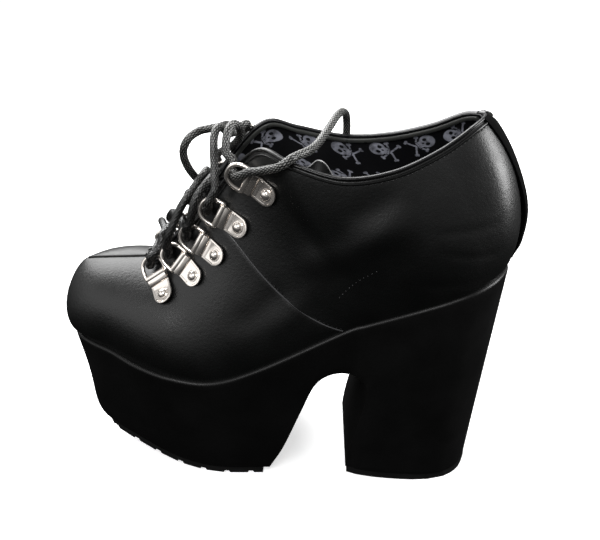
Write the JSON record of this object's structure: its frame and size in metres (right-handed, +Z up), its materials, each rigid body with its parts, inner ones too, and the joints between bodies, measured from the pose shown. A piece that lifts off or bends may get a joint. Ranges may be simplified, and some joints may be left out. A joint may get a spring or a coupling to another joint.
{
  "type": "platform lace-up shoe",
  "caption": "Black platform lace-up shoe with a high block heel, arched sole and riveted D-rings for its lace. Open inside for a foot, it stands empty on its sole.",
  "frame": {"origin": "under the middle of the shoe's bounding box, on the plane that the heel and the forefoot stand on", "axes": "-X to the toe, +X to the heel, -Y to the outer side and +Y to the inner side of a left foot, +Z up"},
  "size_m": [0.2548, 0.0925, 0.2067],
  "materials": {
    "upper_leather": "smooth satin black, soft broad highlights",
    "sole_leather": "matt black wrap over the platform and the heel",
    "lining": "black cloth with a small grey print",
    "tread_rubber": "dull black, ribbed under the forefoot",
    "nickel": "polished nickel plate",
    "lace_cord": "waxed black braid"
  },
  "bodies": {
    "root": {"platform_unit": "sole_leather", "forepart_outsole": "tread_rubber", "heel_top_lift": "tread_rubber", "upper": "upper_leather", "insole": "lining", "tongue": "lining", "backstay": "upper_leather", "ring_plate_outer_1": "nickel", "ring_plate_outer_2": "nickel", "ring_plate_outer_3": "nickel", "ring_plate_outer_4": "nickel", "ring_plate_outer_5": "nickel", "ring_plate_inner_1": "nickel", "ring_plate_inner_2": "nickel", "ring_plate_inner_3": "nickel", "ring_plate_inner_4": "nickel", "ring_plate_inner_5": "nickel", "rivet_outer_1": "nickel", "rivet_outer_2": "nickel", "rivet_outer_3": "nickel", "rivet_outer_4": "nickel", "rivet_outer_5": "nickel", "rivet_inner_1": "nickel", "rivet_inner_2": "nickel", "rivet_inner_3": "nickel", "rivet_inner_4": "nickel", "rivet_inner_5": "nickel", "d_ring_outer_1": "nickel", "d_ring_outer_2": "nickel", "d_ring_outer_3": "nickel", "d_ring_outer_4": "nickel", "d_ring_outer_5": "nickel", "d_ring_inner_1": "nickel", "d_ring_inner_2": "nickel", "d_ring_inner_3": "nickel", "d_ring_inner_4": "nickel", "d_ring_inner_5": "nickel", "lace_crossings": "lace_cord", "lace_loop_outer": "lace_cord", "lace_loop_inner": "lace_cord", "lace_end_right": "lace_cord", "lace_end_left": "lace_cord"}
  },
  "joints": []
}
